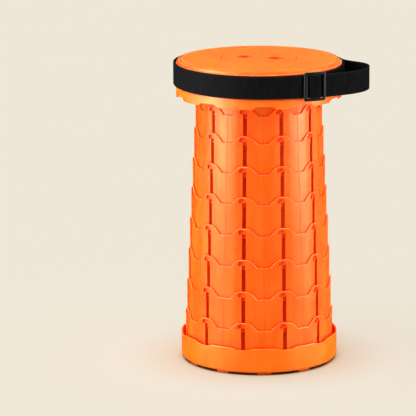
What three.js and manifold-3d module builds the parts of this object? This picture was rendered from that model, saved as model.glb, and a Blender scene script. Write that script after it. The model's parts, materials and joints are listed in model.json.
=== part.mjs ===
// Collapsible telescopic stool: a shallow tray, eight nested scalloped rings and a seat cap, with a webbing strap
// round the cap that forms a carrying loop. Millimetres, +Z up, origin on the stool's axis at floor level.
// Azimuths are in degrees from -Y (the front) towards +X.
import * as THREE from 'three';
import { mergeVertices } from 'three/addons/utils/BufferGeometryUtils.js';
import Module from 'manifold-3d';

// ---- driving dimensions -------------------------------------------------------------------------------------------
const STOOL_HEIGHT = 463.0;      // floor to the flat middle of the seat, extended
const SEAT_RIM = 461.5;          // floor to the top of the seat's rim: the plate is slightly crowned
const CROWN_R = 57.5;            // radius of the flat middle
const RING_COUNT = 8;            // moving rings between the base and the seat
const SECTORS = 11;              // slots, pegs and scallops repeat eleven times round each ring
const SLOT_PHASE = -12.35;       // azimuth of one slot
const SLOT_PANEL = 6.7;          // half angle of the flat wall panel round a slot; two more panels meet at each valley
const CAP_FACETS = 50;           // wall facets of the cap, tray and strap
const RING_WALL = 1.8;           // wall thickness of a ring
const RING_STEP = 2.4;           // radial step from one ring to the next: wall and 0.6 running gap
const RING8_R = 95.7;            // outer radius of the smallest moving ring
const RING_BOTTOM = [5.3, 16.5, 64.3, 112, 160, 207.5, 254.5, 300.5, 346, 387.7]; // bottom edges, extended: base ring, rings 1 to 8, seat ring
const OVERLAP = 14.5;            // how far each ring stands in the one below it, up to the scallop peaks
const SCALLOP_DEPTH = 11.5;      // peak to valley of the scalloped top edge
const SCALLOP_SLOPE = 14.5;      // length along the wall of each flank of a valley
const SLOT_W = 5.9;              // width of the vertical guide slot
const SLOT_BELOW_PEG = 10.6;     // height where a ring's slot ends, above its own peg
const RIM_H = 2.1;               // height of the closed rim at a ring's bottom edge
const PEG_Z = 7.4;               // peg centre above the bottom edge
const PEG_U = -0.3;              // peg centre beside the slot's centre line
const PEG_R = 2.1;
const PEG_OUT = 1.5;             // how far a peg stands out of its wall
const WEB = 0.6;                 // wall left behind a peg, where the next ring's peg parks
const FEET_H = 2.5;
const FLOOR_T = 2.5;             // thickness of the tray's floor
const TRAY_R = 119;              // outer radius of the tray wall
const TRAY_WALL = 2.4;
const TRAY_TOP = 38.6;           // height of the tray wall at the slots
const TRAY_WAVE = 2.7;           // how much higher the wall stands in front of each valley
const FOOT_R = 113.5;            // outer radius of the feet
const FOOT_W = 20;
const SEAT_R = 122.6;            // radius of the seat's rim bead
const SKIRT_R = 125;             // outer radius of the cap's skirt
const SKIRT_WALL = 2.4;
const SKIRT_BOTTOM = 406;
const PLATE_T = 3.2;             // thickness of the seat plate
const RIB_BOTTOM = 451.7;        // lower edge of the ribs under the seat plate
const SKIRT_NOTCH_AZ = [-72, -37.5, 3.9, 32.5, 65, 101, 137, 173, 209, 245]; // centres of the shallow notches
const SKIRT_NOTCH_D = 4.2;
const HOLE_R = 10.8;             // finger holes through the seat
const HOLE_SPACING = 49;
const HOLE_TURN = -17;           // turn of the line through the holes, about +Z
const HOLE_MID = [2.7, 3.3];     // middle of the pair of holes
const STRAP_IN = 125.8;          // inner radius of the band round the cap
const STRAP_T = 3.4;             // two layers of webbing
const STRAP_Z0 = 421.4;
const STRAP_Z1 = 456.2;
const LOOP_Z0 = 419.8;           // the loop hangs a little lower than the band
const LOOP_Z1 = 454.8;
const LOOP_T = 1.6;
const GLIDE_AZ = 22;             // azimuth the slide buckle faces: the loop pulls it off the band's curve
const GLIDE_R = 129.9;           // distance of its inner face from the stool's axis
const GLIDE_U = 35.4;            // how far its middle lies beside that line, towards the loop
const GLIDE_W = 34.6;            // along the strap
const GLIDE_H = 42.9;            // across the strap
const GLIDE_Z = 437.85;
const GLIDE_T = 2.6;
const GLIDE_OPEN = 35.2;         // height of its two windows

const ORANGE = { color: 0xff6e14, roughness: 0.42, metalness: 0 };
const BLACK_WEBBING = { color: 0x141414, roughness: 0.92, metalness: 0 };
const BLACK_PLASTIC = { color: 0x17181a, roughness: 0.38, metalness: 0 };

// ---- solids -------------------------------------------------------------------------------------------------------
const wasm = await Module();
wasm.setup();
const RAD = Math.PI / 180;

// Closed body from a three.js geometry, turned right side out if its faces point in.
function body(geometry, matrix) {
  const g = geometry.clone();
  if (matrix) g.applyMatrix4(matrix);
  g.deleteAttribute('normal');
  g.deleteAttribute('uv');
  const m = mergeVertices(g, 1e-4);
  const pos = Float32Array.from(m.attributes.position.array);
  const src = m.index.array;
  const keep = [];
  for (let i = 0; i < src.length; i += 3) {
    if (src[i] !== src[i + 1] && src[i + 1] !== src[i + 2] && src[i] !== src[i + 2]) keep.push(src[i], src[i + 1], src[i + 2]);
  }
  const a = new THREE.Vector3(), b = new THREE.Vector3(), c = new THREE.Vector3();
  let volume = 0;
  for (let i = 0; i < keep.length; i += 3) {
    a.fromArray(pos, keep[i] * 3); b.fromArray(pos, keep[i + 1] * 3); c.fromArray(pos, keep[i + 2] * 3);
    volume += a.dot(b.cross(c));
  }
  const idx = Uint32Array.from(keep);
  if (volume < 0) for (let i = 0; i < idx.length; i += 3) { const t = idx[i]; idx[i] = idx[i + 1]; idx[i + 1] = t; }
  return new wasm.Manifold(new wasm.Mesh({ numProp: 3, vertProperties: pos, triVerts: idx }));
}

function mesh(name, solid, look) {
  const m = solid.getMesh();
  const g = new THREE.BufferGeometry();
  const p = new Float32Array(m.numVert * 3);
  for (let i = 0; i < m.numVert; i++) for (let k = 0; k < 3; k++) p[i * 3 + k] = m.vertProperties[i * m.numProp + k];
  g.setAttribute('position', new THREE.BufferAttribute(p, 3));
  g.setIndex(new THREE.BufferAttribute(Uint32Array.from(m.triVerts), 1));
  g.computeVertexNormals();
  const out = new THREE.Mesh(g, new THREE.MeshStandardMaterial(look));
  out.name = name;
  return out;
}

const toZUp = new THREE.Matrix4().makeRotationX(Math.PI / 2);

// Body of revolution about Z. The profile is [radius, height] points; a wall's profile closes on itself.
function lathe(points, segments, phase) {
  const pts = points.map(([r, z]) => new THREE.Vector2(r, z));
  const g = new THREE.LatheGeometry(pts, segments, phase * RAD, Math.PI * 2);
  // the seam's last column is the first one again
  const n = pts.length, pos = g.attributes.position;
  for (let j = 0; j < n; j++) pos.setXYZ(segments * n + j, pos.getX(j), pos.getY(j), pos.getZ(j));
  for (let i = 0; i <= segments; i++) {
    if (points[0][0] === points[n - 1][0] && points[0][1] === points[n - 1][1]) {
      pos.setXYZ(i * n + n - 1, pos.getX(i * n), pos.getY(i * n), pos.getZ(i * n));
    }
  }
  return body(g, toZUp);
}

// Frame at an azimuth: x along the wall (to the right seen from outside), y up, z outwards.
function facing(az, radius, z = 0) {
  const a = az * RAD;
  const t = new THREE.Vector3(Math.cos(a), Math.sin(a), 0);
  const n = new THREE.Vector3(Math.sin(a), -Math.cos(a), 0);
  return new THREE.Matrix4().makeBasis(t, new THREE.Vector3(0, 0, 1), n).setPosition(n.x * radius, n.y * radius, z);
}

// Flat outline pushed out to a depth along its frame's z.
function plate(points, depth, matrix) {
  const shape = new THREE.Shape(points.map(([x, y]) => new THREE.Vector2(x, y)));
  return body(new THREE.ExtrudeGeometry(shape, { depth, bevelEnabled: false, steps: 1 }), matrix);
}

const union = (list) => list.reduce((a, b) => a.add(b));
const minus = (solid, list) => list.reduce((a, b) => a.subtract(b), solid);

// ---- rings --------------------------------------------------------------------------------------------------------
const apothem = (r) => r * Math.cos(SLOT_PANEL * RAD);                // of the panel round a slot
const slotAz = (i) => SLOT_PHASE + (360 / SECTORS) * i;
const valleyAz = (i) => slotAz(i) + 180 / SECTORS;
const ringR = (k) => RING8_R + RING_STEP * (RING_COUNT - k);         // k = 9 is the seat's ring, 0 the base's
const ringPeak = (k) => RING_BOTTOM[k + 1] + OVERLAP;

// Outline of the guide slot with its bayonet head; heights are from the bottom edge of a ring whose peak is at `peak`.
function slotOutline(bottom, peak) {
  const h = SLOT_W / 2;
  return [
    [-h, bottom], [h, bottom], [h, peak - 7.3], [-0.4, peak - 2.4], [-6.4, peak - 2.4],
    [-8.3, peak - 5.2], [-8.3, peak - 9.0], [-5.5, peak - 9.0], [-5.5, peak - 6.8], [-h, peak - 8.4],
  ];
}

// Cutter that leaves the scalloped edge: flat valley floor, S-shaped flanks.
function valleyOutline(radius, peak) {
  const sector = (2 * Math.PI * radius) / SECTORS;
  const flat = 0.6 * (sector - 2 * SCALLOP_SLOPE) / 2;
  const s = [[0, 0], [0.32, 0.45], [0.68, 0.82], [1, 1]];
  const right = s.map(([u, v]) => [flat + u * SCALLOP_SLOPE, peak - SCALLOP_DEPTH + v * SCALLOP_DEPTH]);
  const left = right.slice().reverse().map(([u, v]) => [-u, v]);
  const top = peak + 2;
  return [...right, [flat + SCALLOP_SLOPE, top], [-flat - SCALLOP_SLOPE, top], ...left];
}

// Panelled wall: one flat panel round each slot and two between slots, which meet at the valley's middle.
function panelWall(ro, ri, height) {
  const at = (r, az) => new THREE.Vector2(r * Math.sin(az * RAD), -r * Math.cos(az * RAD));
  const corners = (r) => {
    const out = [];
    for (let i = 0; i < SECTORS; i++) out.push(at(r, slotAz(i) - SLOT_PANEL), at(r, slotAz(i) + SLOT_PANEL), at(r, valleyAz(i)));
    return out;
  };
  const shape = new THREE.Shape(corners(ro));
  shape.holes.push(new THREE.Path(corners(ri)));
  return body(new THREE.ExtrudeGeometry(shape, { depth: height, bevelEnabled: false, steps: 1 }));
}

function ringBody(k, { pegs, slots, slotBottom, top }) {
  const ro = ringR(k), ri = ro - RING_WALL, bottom = RING_BOTTOM[k];
  const scallops = top === undefined;
  const height = (scallops ? ringPeak(k) : top) - bottom;
  let ring = panelWall(ro, ri, height);
  const cutters = [];
  for (let i = 0; i < SECTORS; i++) {
    if (scallops) cutters.push(plate(valleyOutline(ro, height), 30, facing(valleyAz(i), ri - 12)));
    if (slots) cutters.push(plate(slotOutline(slotBottom, height), 12, facing(slotAz(i), ri - 6)));
    if (pegs) {
      // blind groove behind the peg, a little wider than the slot that runs into it
      const h = SLOT_W / 2 + 0.25;
      cutters.push(plate([[-h, RIM_H], [h, RIM_H], [h, slotBottom + 0.6], [-h, slotBottom + 0.6]], 6, facing(slotAz(i), apothem(ro) - WEB - 6)));
    }
  }
  ring = ring.subtract(union(cutters));
  if (pegs) {
    const list = [];
    for (let i = 0; i < SECTORS; i++) {
      const g = new THREE.CylinderGeometry(PEG_R, PEG_R, WEB + PEG_OUT - 0.1, 6);
      const m = facing(slotAz(i), apothem(ro) - WEB + 0.1 + (WEB + PEG_OUT - 0.1) / 2);
      m.multiply(new THREE.Matrix4().makeTranslation(PEG_U, PEG_Z, 0)).multiply(new THREE.Matrix4().makeRotationX(Math.PI / 2));
      list.push(body(g, m));
    }
    ring = ring.add(union(list));
  }
  return ring.translate([0, 0, bottom]);
}

// ---- tray ---------------------------------------------------------------------------------------------------------
function trayBody() {
  const z0 = FEET_H, z1 = FEET_H + FLOOR_T, top = TRAY_TOP + TRAY_WAVE, ri = TRAY_R - TRAY_WALL;
  let tray = lathe([[0, z0], [TRAY_R - 9, z0], [TRAY_R - 2.7, z0 + 1.1], [TRAY_R - 0.7, z0 + 2.5], [TRAY_R, z0 + 4.6], [TRAY_R, top], [ri, top], [ri, z1 + 1.5], [ri - 1.5, z1], [0, z1]],
    CAP_FACETS, slotAz(0));
  const cutters = [];
  for (let i = 0; i < SECTORS; i++) {
    // low stretch of the top edge at each slot
    cutters.push(plate([[-9, TRAY_TOP], [9, TRAY_TOP], [17, top - 0.2], [17, top + 1], [-17, top + 1], [-17, top - 0.2]], 14, facing(slotAz(i), ri - 6)));
  }
  tray = tray.subtract(union(cutters));
  const feet = [];
  for (let i = 0; i < SECTORS; i++) {
    const w = FOOT_W / 2;
    feet.push(plate([[-w, 0], [w, 0], [w, FEET_H + 1.4], [-w, FEET_H + 1.4]], 9, facing(valleyAz(i), FOOT_R - 9)));
  }
  // raised pad under the middle of the floor
  feet.push(lathe([[0, 0], [18, 0], [18, FEET_H + 0.4], [0, FEET_H + 0.4]], 20, 0));
  return tray.add(union(feet));
}

// ---- seat ---------------------------------------------------------------------------------------------------------
const holeXY = [-1, 1].map((s) => [HOLE_MID[0] + s * HOLE_SPACING / 2 * Math.cos(HOLE_TURN * RAD), HOLE_MID[1] + s * HOLE_SPACING / 2 * Math.sin(HOLE_TURN * RAD)]);

function seatBody() {
  const top = STOOL_HEIGHT, rim = SEAT_RIM, under = rim - PLATE_T, si = SKIRT_R - SKIRT_WALL;
  let cap = lathe([[0, under], [si - 3, under], [si, under - 3.4], [si, SKIRT_BOTTOM], [SKIRT_R, SKIRT_BOTTOM], [SKIRT_R, rim - 4.9], [SEAT_R, rim - 3.6],
    [SEAT_R, rim - 1.2], [SEAT_R - 1.2, rim], [CROWN_R, top], [0, top]], CAP_FACETS, slotAz(0));
  const notch = SKIRT_NOTCH_AZ.map((az) => plate([[-18, SKIRT_BOTTOM - 1], [18, SKIRT_BOTTOM - 1], [18, SKIRT_BOTTOM], [12.5, SKIRT_BOTTOM + SKIRT_NOTCH_D],
    [-12.5, SKIRT_BOTTOM + SKIRT_NOTCH_D], [-18, SKIRT_BOTTOM]], 16, facing(az, si - 10)));
  cap = cap.subtract(union(notch));
  // ribs under the plate, broken where the seat's ring stands
  const ribs = [];
  const inner = ringR(9) - RING_WALL - 0.6, outer = ringR(9) + 0.5;
  for (let i = 0; i < SECTORS; i++) {
    const m = facing(valleyAz(i), 0);
    ribs.push(plate([[-1, RIB_BOTTOM], [1, RIB_BOTTOM], [1, under + 0.5], [-1, under + 0.5]], inner - 44, m.clone().multiply(new THREE.Matrix4().makeTranslation(0, 0, 44))));
    for (const [high, far] of [[under + 0.5, si - 2], [under - 2.6, si + 0.8]]) {
      ribs.push(plate([[-1, RIB_BOTTOM], [1, RIB_BOTTOM], [1, high], [-1, high]], far - outer, m.clone().multiply(new THREE.Matrix4().makeTranslation(0, 0, outer))));
    }
  }
  ribs.push(lathe([[44, RIB_BOTTOM], [46, RIB_BOTTOM], [46, under + 0.5], [44, under + 0.5], [44, RIB_BOTTOM]], 30, 0));
  cap = cap.add(union(ribs));
  // collars round the finger holes, then the holes
  const collars = holeXY.map(([x, y]) => lathe([[0, RIB_BOTTOM], [HOLE_R + 2, RIB_BOTTOM], [HOLE_R + 2, under + 0.5], [0, under + 0.5]], 20, 0).translate([x, y, 0]));
  const holes = holeXY.map(([x, y]) => lathe([[0, RIB_BOTTOM - 3], [HOLE_R, RIB_BOTTOM - 3], [HOLE_R, top - 1], [HOLE_R + 1, top], [HOLE_R + 1, top + 1], [0, top + 1]], 20, 0).translate([x, y, 0]));
  return cap.add(union(collars)).subtract(union(holes));
}

// ---- strap --------------------------------------------------------------------------------------------------------
// Offsets a line of [x, y] points both ways by half the thickness, and closes it.
function ribbonOutline(path, thickness) {
  const left = [], right = [];
  for (let i = 0; i < path.length; i++) {
    const a = path[Math.max(i - 1, 0)], b = path[Math.min(i + 1, path.length - 1)];
    const dx = b[0] - a[0], dy = b[1] - a[1], l = Math.hypot(dx, dy);
    const nx = -dy / l * thickness / 2, ny = dx / l * thickness / 2;
    left.push([path[i][0] + nx, path[i][1] + ny]);
    right.push([path[i][0] - nx, path[i][1] - ny]);
  }
  return [...left, ...right.reverse()];
}

const BAND_OUT = STRAP_IN + STRAP_T;
// Point beside the slide buckle: u along the strap from its middle, w out from its inner face.
function atGlide(u, w) {
  const a = GLIDE_AZ * RAD, r = GLIDE_R + w, v = GLIDE_U + u;
  return [r * Math.sin(a) + v * Math.cos(a), -r * Math.cos(a) + v * Math.sin(a)];
}
const onBand = (az, w) => [(BAND_OUT + w) * Math.sin(az * RAD), -(BAND_OUT + w) * Math.cos(az * RAD)];

function loopPath() {
  const p = [onBand(14, 1.25), onBand(18, 1.2), onBand(22, 1.15), onBand(25.5, 1.0)];
  p.push(atGlide(-17.3, -1.0), atGlide(-12.8, -1.05), atGlide(-10.6, -0.4), atGlide(-8.7, 2.0), atGlide(-6.4, 4.3), atGlide(0, 4.7), atGlide(6.4, 4.3));
  p.push(atGlide(8.7, 2.0), atGlide(10.6, -0.4), atGlide(12.8, -1.05), atGlide(17.3, -1.0));
  // front leg, rounded end and rear leg of the carrying loop
  p.push([109, -93], [122.5, -84], [138, -73], [150.5, -60], [158.8, -46.5], [163.2, -34], [164.8, -24], [164.2, -14.5], [160.8, -4], [155, 4.5]);
  p.push([147.3, 12.3], [138.5, 19], [131.8, 25.5], onBand(104.5, 1.6), onBand(109, 1.25), onBand(115, 1.25), onBand(121, 1.25));
  return p;
}

function loopBody() {
  const loop = plate(ribbonOutline(loopPath(), LOOP_T), LOOP_Z1 - LOOP_Z0, new THREE.Matrix4().makeTranslation(0, 0, LOOP_Z0));
  // its lower edge is drawn in a little where it passes the buckle's windows
  const low = -GLIDE_OPEN / 2 + 0.35;
  return minus(loop, [plate([[-29, low - 8], [29, low - 8], [21, low], [-21, low]], 14, glideFrame(GLIDE_R - 4))]);
}

function roundedRect(w, h, r, n = 3) {
  const pts = [];
  for (const [cx, cy, a0] of [[w / 2 - r, h / 2 - r, 0], [-w / 2 + r, h / 2 - r, 90], [-w / 2 + r, -h / 2 + r, 180], [w / 2 - r, -h / 2 + r, 270]]) {
    for (let i = 0; i <= n; i++) pts.push([cx + r * Math.cos((a0 + 90 * i / n) * RAD), cy + r * Math.sin((a0 + 90 * i / n) * RAD)]);
  }
  return pts;
}

const glideFrame = (r) => facing(GLIDE_AZ, r, GLIDE_Z).multiply(new THREE.Matrix4().makeTranslation(GLIDE_U, 0, 0));

function glideBody() {
  const frame = plate(roundedRect(GLIDE_W, GLIDE_H, 3.2), GLIDE_T, glideFrame(GLIDE_R));
  const windows = [[-12.1, -3.5], [3.5, 13.2]].map(([x0, x1]) => plate([[x0, -GLIDE_OPEN / 2], [x1, -GLIDE_OPEN / 2], [x1, GLIDE_OPEN / 2], [x0, GLIDE_OPEN / 2]], GLIDE_T + 4, glideFrame(GLIDE_R - 2)));
  return minus(frame, windows);
}

// ---- assembly -----------------------------------------------------------------------------------------------------
const stool = new THREE.Group();
stool.add(mesh('base_tray', trayBody(), ORANGE));
stool.add(mesh('base_ring', ringBody(0, { pegs: false, slots: true, slotBottom: 4.6 }), ORANGE));
for (let k = 1; k <= RING_COUNT; k++) stool.add(mesh(`ring_${k}`, ringBody(k, { pegs: true, slots: true, slotBottom: SLOT_BELOW_PEG }), ORANGE));
// the seat's own ring: pegs, no guide slots, square top edge under the seat plate
stool.add(mesh('seat_ring', ringBody(9, { pegs: true, slots: false, slotBottom: SLOT_BELOW_PEG, top: SEAT_RIM - PLATE_T - 0.3 }), ORANGE));
stool.add(mesh('seat_cap', seatBody(), ORANGE));
stool.add(mesh('strap_band', lathe([[STRAP_IN, STRAP_Z0], [BAND_OUT, STRAP_Z0], [BAND_OUT, STRAP_Z1], [STRAP_IN, STRAP_Z1], [STRAP_IN, STRAP_Z0]], CAP_FACETS, slotAz(0)), BLACK_WEBBING));
stool.add(mesh('strap_handle', loopBody(), BLACK_WEBBING));
stool.add(mesh('strap_slider', glideBody(), BLACK_PLASTIC));
stool.add(mesh('strap_label', plate(roundedRect(38, 24, 2), 1.2, facing(200, BAND_OUT + 0.35, 439.7)), BLACK_WEBBING));

export default stool;
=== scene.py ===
import json
import math

import bmesh
import bpy
import numpy as np
from mathutils import Matrix, Vector
from mathutils.geometry import delaunay_2d_cdt

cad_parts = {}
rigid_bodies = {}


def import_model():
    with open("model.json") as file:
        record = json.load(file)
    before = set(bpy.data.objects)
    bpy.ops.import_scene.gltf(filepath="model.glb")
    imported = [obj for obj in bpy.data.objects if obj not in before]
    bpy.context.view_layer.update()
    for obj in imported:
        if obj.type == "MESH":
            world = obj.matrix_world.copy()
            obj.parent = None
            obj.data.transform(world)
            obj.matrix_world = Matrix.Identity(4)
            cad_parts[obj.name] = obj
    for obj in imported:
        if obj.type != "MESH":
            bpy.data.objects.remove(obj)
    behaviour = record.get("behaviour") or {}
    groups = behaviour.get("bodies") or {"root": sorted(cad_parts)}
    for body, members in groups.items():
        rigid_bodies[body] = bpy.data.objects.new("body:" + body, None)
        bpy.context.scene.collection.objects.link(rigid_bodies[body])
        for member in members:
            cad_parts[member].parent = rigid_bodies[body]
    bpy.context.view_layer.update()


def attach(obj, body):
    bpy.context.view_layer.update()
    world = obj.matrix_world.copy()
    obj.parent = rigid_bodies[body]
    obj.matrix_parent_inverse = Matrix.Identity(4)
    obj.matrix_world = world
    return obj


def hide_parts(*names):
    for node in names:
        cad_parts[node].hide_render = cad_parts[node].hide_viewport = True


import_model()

# Lengths are in millimetres while a mesh is built, and in metres once it is an object. Azimuths are in degrees from -Y
# towards +X, as in the CAD.
MM = 0.001
TOP, CROWN, CROWN_R = 461.5, 1.5, 57.5    # rim height, rise of the flat middle and its radius
SECTORS = 11
SECTOR = 360 / SECTORS
PHASE = -12.35
SLOT_PANEL = 7.25      # half angle of the flatter band round a slot
RING8_R, STEP, WALL = 95.7, 2.4, 1.8
BOTTOMS = [5.3, 16.5, 64.3, 112, 160, 207.5, 254.5, 300.5, 346, 387.7]
OVERLAP, SCALLOP, SLOPE = 14.5, 11.5, 14.5
SLOT_W, RIM_H = 5.9, 2.1
PEG_U, PEG_Z, PEG_OUT = -0.3, 7.4, 1.5
TRAY_R, TRAY_IN = 119.0, 116.6
SKIRT_R, SKIRT_IN, SKIRT_BOTTOM = 125.0, 122.6, 406.0
BEAD_R = 122.6                            # the seat's rounded rim
NOTCHES = [-72, -37.5, 3.9, 32.5, 65, 101, 137, 173, 209, 245]
BAND_IN, BAND_OUT = 125.8, 129.2
BAND_Z0, BAND_Z1 = 421.7, 456.2
LOOP_Z0, LOOP_Z1 = 419.8, 454.8
GLIDE_AZ, GLIDE_R, GLIDE_U = 22.0, 129.9, 35.4
GLIDE_W, GLIDE_H, GLIDE_Z, GLIDE_T = 34.6, 42.9, 437.85, 2.6


def around(r, az):
    a = np.radians(az)
    return np.stack([r * np.sin(a), -r * np.cos(a)], -1)


# ---------------------------------------------------------------------------------------------------- flat outlines
# An outline runs with the empty side on its left: a hole anticlockwise, a top edge from left to right.

def fillet(points, radii, closed=True, n=4):
    pts = [np.array(p, float) for p in points]
    out = []
    for i, p in enumerate(pts):
        r = radii[i] if isinstance(radii, (list, tuple)) else radii
        if r <= 0 or (not closed and i in (0, len(pts) - 1)):
            out.append(p)
            continue
        a, b = pts[i - 1] - p, pts[(i + 1) % len(pts)] - p
        la, lb = np.linalg.norm(a), np.linalg.norm(b)
        a, b = a / la, b / lb
        half = math.acos(max(-1, min(1, float(a @ b)))) / 2
        if half > math.radians(89):
            out.append(p)
            continue
        t = min(r / math.tan(half), 0.48 * la, 0.48 * lb)
        r = t * math.tan(half)
        c = p + (a + b) / np.linalg.norm(a + b) * (r / math.sin(half))
        s, e = p + a * t - c, p + b * t - c
        turn = math.acos(max(-1, min(1, float(s @ e) / (r * r))))
        sign = 1 if s[0] * e[1] - s[1] * e[0] > 0 else -1
        for k in range(n + 1):
            w = sign * turn * k / n
            out.append(c + np.array([s[0] * math.cos(w) - s[1] * math.sin(w), s[0] * math.sin(w) + s[1] * math.cos(w)]))
    return np.array(out)


def normals_of(pts, closed):
    """Left normals at the points, mitred."""
    d = np.roll(pts, -1, 0) - pts
    d /= np.maximum(np.linalg.norm(d, axis=1, keepdims=True), 1e-12)
    n = np.stack([-d[:, 1], d[:, 0]], 1)
    before = np.roll(n, 1, 0)
    if not closed:
        n[-1] = n[-2]
        before[0] = n[0]
    m = n + before
    return m / np.maximum(1 + (n * before).sum(1, keepdims=True), 0.3)


def inset(pts, d, closed=True):
    """The outline moved into the material by d."""
    return pts - normals_of(pts, closed) * d


def inside(poly, p):
    x, y = p[:, 0][:, None], p[:, 1][:, None]
    x0, y0 = poly[:, 0][None], poly[:, 1][None]
    x1, y1 = np.roll(poly[:, 0], -1)[None], np.roll(poly[:, 1], -1)[None]
    with np.errstate(divide="ignore", invalid="ignore"):
        hit = ((y0 > y) != (y1 > y)) & (x < (x1 - x0) * (y - y0) / (y1 - y0) + x0)
    return hit.sum(1) % 2 == 1


def nearest(outlines, p):
    """Distance of each point to the outlines, and the direction out of the material there."""
    a, b, n = [], [], []
    for pts, closed in outlines:
        q = np.roll(pts, -1, 0) if closed else pts[1:]
        s = pts if closed else pts[:-1]
        d = q - s
        l = np.linalg.norm(d, axis=1)
        keep = l > 1e-9
        s, q, d = s[keep], q[keep], d[keep] / l[keep][:, None]
        a.append(s), b.append(q), n.append(np.stack([-d[:, 1], d[:, 0]], 1))
    a, b, n = np.concatenate(a), np.concatenate(b), np.concatenate(n)
    ab = b - a
    t = np.clip(((p[:, None] - a[None]) * ab[None]).sum(-1) / (ab * ab).sum(-1)[None], 0, 1)
    away = np.linalg.norm(p[:, None] - (a[None] + t[..., None] * ab[None]), axis=-1)
    dist = away.min(1)
    w = (away <= dist[:, None] + 2e-3).astype(float)
    out = w @ n
    return dist, out / np.maximum(np.linalg.norm(out, axis=1, keepdims=True), 1e-9)


def plan(lines, keep):
    """Triangles of a flat region that has all these lines in it. lines is a list of (points, closed)."""
    pts, edges = [], []
    for line, closed in lines:
        base, n = len(pts), len(line)
        pts += [Vector((float(x), float(y))) for x, y in line]
        edges += [(base + i, base + (i + 1) % n) for i in range(n if closed else n - 1)]
    v, _, f, *_ = delaunay_2d_cdt(pts, edges, [], 0, 1e-4, False)
    v = np.array([(p[0], p[1]) for p in v], float)
    f = np.array(f, int)
    f = f[keep(v[f].mean(1))]
    a, b, c = v[f[:, 0]], v[f[:, 1]], v[f[:, 2]]
    area = (b[:, 0] - a[:, 0]) * (c[:, 1] - a[:, 1]) - (b[:, 1] - a[:, 1]) * (c[:, 0] - a[:, 0])
    f[area < 0] = f[area < 0][:, ::-1]
    used = np.unique(f)
    remap = -np.ones(len(v), int)
    remap[used] = np.arange(len(used))
    return v[used], remap[f]


def rim_edges(f):
    """Directed edges of the triangles that no other triangle shares."""
    e = np.concatenate([f[:, [0, 1]], f[:, [1, 2]], f[:, [2, 0]]])
    there = {(int(a), int(b)) for a, b in e}
    return [(a, b) for a, b in there if (b, a) not in there]


# ---------------------------------------------------------------------------------------------------- mesh objects

def make(name, verts, faces, normals=None, edge=None, sharp=None, uv=None):
    mesh = bpy.data.meshes.new(name)
    mesh.from_pydata((np.asarray(verts, float) * MM).tolist(), [], [list(map(int, f)) for f in faces])
    mesh.validate()
    mesh.update()
    mesh.shade_smooth()
    if edge is not None:
        a = mesh.attributes.new("edge", "FLOAT", "POINT")
        a.data.foreach_set("value", np.asarray(edge, np.float32))
    if uv is not None:
        layer = mesh.uv_layers.new(name="UVMap")
        loops = np.zeros(len(mesh.loops), int)
        mesh.loops.foreach_get("vertex_index", loops)
        layer.data.foreach_set("uv", np.asarray(uv, np.float32)[loops].ravel())
    if sharp is not None:
        mesh.set_sharp_from_angle(angle=math.radians(sharp))
    if normals is not None:
        n = np.asarray(normals, float)
        n /= np.maximum(np.linalg.norm(n, axis=1, keepdims=True), 1e-9)
        mesh.normals_split_custom_set_from_vertices(n.tolist())
    obj = bpy.data.objects.new(name, mesh)
    bpy.context.scene.collection.objects.link(obj)
    return obj


def panels(phi, rc, share=0.6):
    """Radius and tangential slope of a ring's wall at angle phi (degrees) from a slot: round, with a flatter band round
    each slot. share 0 is a circle, 1 makes the band flat."""
    p = np.abs(phi)
    q = np.minimum(p, SLOT_PANEL)
    flat = rc * math.cos(math.radians(SLOT_PANEL)) / np.cos(np.radians(q))
    r = (1 - share) * rc + share * flat
    return r, np.where(p < SLOT_PANEL - 0.02, share * flat * np.tan(np.radians(q)) / r * np.sign(phi), 0.0)


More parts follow.
